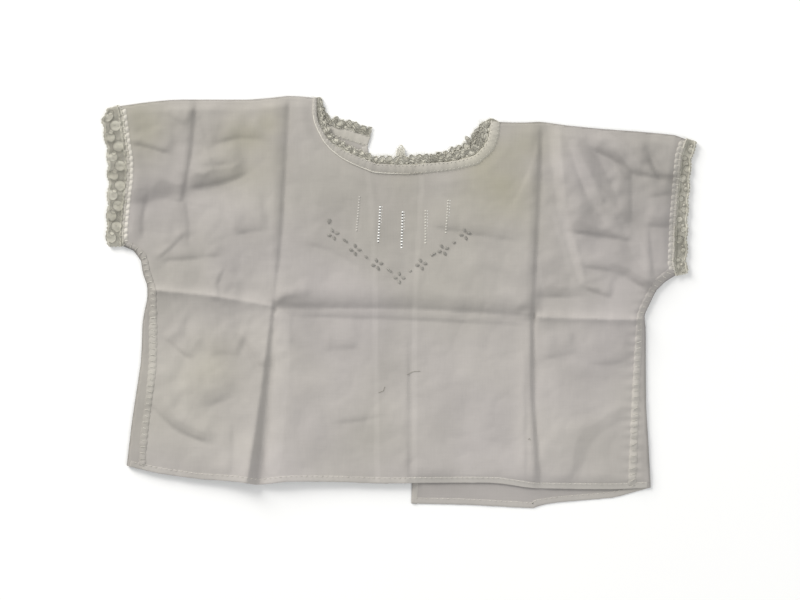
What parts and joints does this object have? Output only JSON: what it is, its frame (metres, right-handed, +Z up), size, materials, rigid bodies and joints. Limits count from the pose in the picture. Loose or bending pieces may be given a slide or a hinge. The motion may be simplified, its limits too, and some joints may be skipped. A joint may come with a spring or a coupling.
{
  "type": "infant's blouse",
  "caption": "Infant's short-sleeved cotton blouse laid flat, lace at the neck and sleeves, open down the back, drawn threads and embroidered flowers on the chest.",
  "frame": {"origin": "middle of the bounding box at the underside, on the surface the blouse lies on", "axes": "+X from the sleeve at the left of the picture to the other, +Y from the hem to the neck, +Z up from the surface"},
  "size_m": [0.3555, 0.247, 0.0063],
  "materials": {
    "cotton": "fine plain-weave white cotton, aged and unbleached, slightly see-through",
    "binding": "white cotton bias strip, folded double",
    "lace": "ivory cotton lace"
  },
  "bodies": {
    "root": {"body": "cotton", "sleeve_lace_left": "lace", "sleeve_lace_right": "lace", "neck_binding_front": "binding", "neck_binding_back_left": "binding", "neck_binding_back_right": "binding", "neck_lace_front": "lace", "neck_lace_back_left": "lace", "neck_lace_back_right": "lace"}
  },
  "joints": []
}
